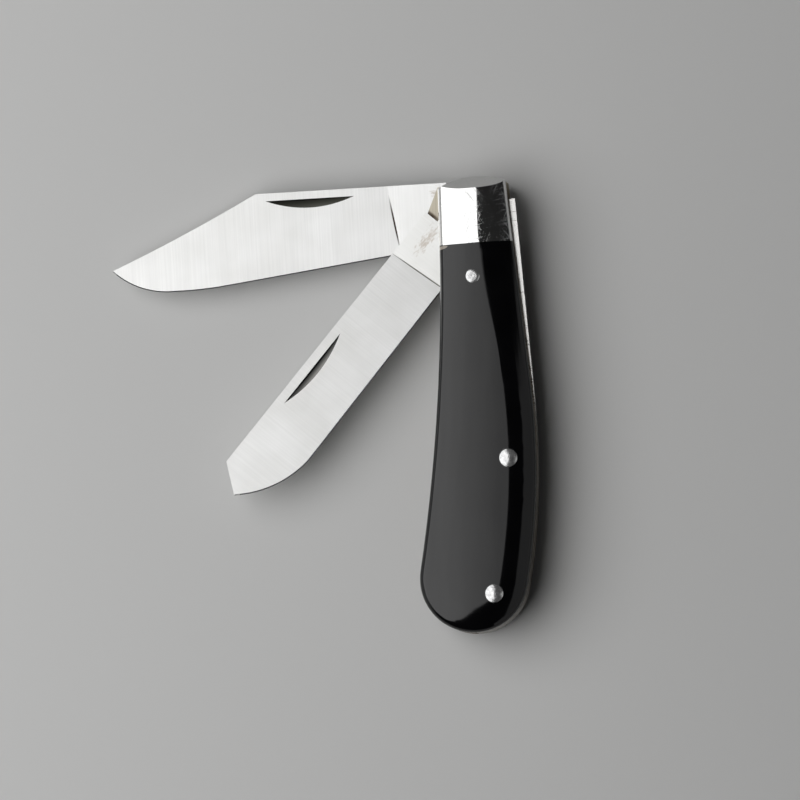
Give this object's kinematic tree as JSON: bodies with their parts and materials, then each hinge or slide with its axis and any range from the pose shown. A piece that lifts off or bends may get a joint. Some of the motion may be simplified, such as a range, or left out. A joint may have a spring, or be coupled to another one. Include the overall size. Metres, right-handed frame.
{
  "type": "folding pocket knife",
  "caption": "Slip-joint jack knife with a clip-point blade and a spey blade that fold on one pivot into a black crowned handle with metal bolsters.",
  "frame": {"origin": "on the blades' pivot axis, in the plane of the rear bolster's flat land, on which the knife lies", "axes": "+X from the blades' side of the handle to its back, +Y from the butt to the bolsters, +Z out of the front side"},
  "size_m": [0.0841, 0.0892, 0.0131],
  "materials": {
    "scale": "polished black horn-like resin",
    "bolster": "mirror-polished nickel silver",
    "liner": "rolled sheet, ground flush at the edges",
    "spring": "hardened spring steel, ground bright",
    "blade": "satin ground across the blade",
    "pin": "nickel silver, domed and polished"
  },
  "bodies": {
    "handle": {"front_scale": "scale", "rear_scale": "scale", "front_bolster": "bolster", "rear_bolster": "bolster", "front_liner": "liner", "center_liner": "liner", "rear_liner": "liner", "clip_spring": "spring", "spey_spring": "spring", "pivot_pin": "pin", "spring_pin": "pin", "butt_pin": "pin", "front_scale_rivet": "pin", "rear_scale_rivet": "pin"},
    "clip_blade": {"clip_blade": "blade"},
    "spey_blade": {"spey_blade": "blade"}
  },
  "joints": [
    {"name": "clip_pivot", "type": "hinge", "parent": "handle", "child": "clip_blade", "pos_m": [0, 0, 0.005], "axis": [0, 0, 1], "range_deg": [-85.8, 80], "deforming": ["clip_spring"]},
    {"name": "spey_pivot", "type": "hinge", "parent": "handle", "child": "spey_blade", "pos_m": [0, 0, 0.0076], "axis": [0, 0, 1], "range_deg": [-133.9, 33.9], "deforming": ["spey_spring"]}
  ]
}
